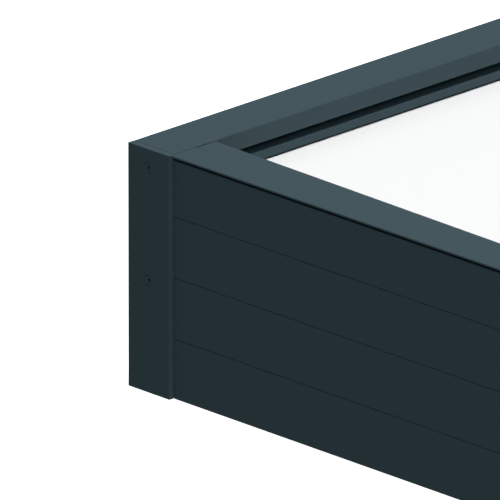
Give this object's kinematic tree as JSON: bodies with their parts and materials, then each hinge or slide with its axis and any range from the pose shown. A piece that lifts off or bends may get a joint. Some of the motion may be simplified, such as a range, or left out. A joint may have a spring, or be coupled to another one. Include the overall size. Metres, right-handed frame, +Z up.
{
  "type": "flat pergola roof",
  "caption": "Flat pergola roof: a rectangular aluminium frame with board-clad front and rear beams round a sunk panel roof, to set on posts or walls.",
  "frame": {"origin": "centre of the frame in plan, at its flat underside", "axes": "+Z up; +X from the high (left) side beam to the low (right) one, along the front; -Y is the front"},
  "size_m": [3, 2.5, 0.26],
  "materials": {
    "powder_coat": "satin fine-texture anthracite powder coat on aluminium",
    "roof_white": "satin white coil coating on sheet-faced roof panels",
    "screw_steel": "satin coated countersunk hexagon-socket screws",
    "seal_rubber": "matt black EPDM rubber seals"
  },
  "bodies": {
    "root": {"corner_cleat_front_left": "powder_coat", "corner_cleat_front_right": "powder_coat", "corner_cleat_rear_left": "powder_coat", "corner_cleat_rear_right": "powder_coat", "end_plate_front_left": "powder_coat", "end_plate_front_right": "powder_coat", "end_plate_rear_left": "powder_coat", "end_plate_rear_right": "powder_coat", "front_board_1": "powder_coat", "front_board_2": "powder_coat", "front_board_3": "powder_coat", "front_board_4": "powder_coat", "front_cap": "powder_coat", "front_core_beam": "powder_coat", "panel_seal_front": "seal_rubber", "panel_seal_left": "seal_rubber", "panel_seal_rear": "seal_rubber", "panel_seal_right": "seal_rubber", "plate_screw_front_left_lower": "screw_steel", "plate_screw_front_left_upper": "screw_steel", "plate_screw_front_right_lower": "screw_steel", "plate_screw_front_right_upper": "screw_steel", "plate_screw_rear_left_lower": "screw_steel", "plate_screw_rear_left_upper": "screw_steel", "plate_screw_rear_right_lower": "screw_steel", "plate_screw_rear_right_upper": "screw_steel", "rear_board_1": "powder_coat", "rear_board_2": "powder_coat", "rear_board_3": "powder_coat", "rear_board_4": "powder_coat", "rear_cap": "powder_coat", "rear_core_beam": "powder_coat", "roof_panel_1": "roof_white", "roof_panel_2": "roof_white", "roof_panel_3": "roof_white", "roof_rail_front": "powder_coat", "roof_rail_left": "powder_coat", "roof_rail_rear": "powder_coat", "roof_rail_right": "powder_coat", "side_beam_left": "powder_coat", "side_beam_right": "powder_coat"}
  },
  "joints": []
}
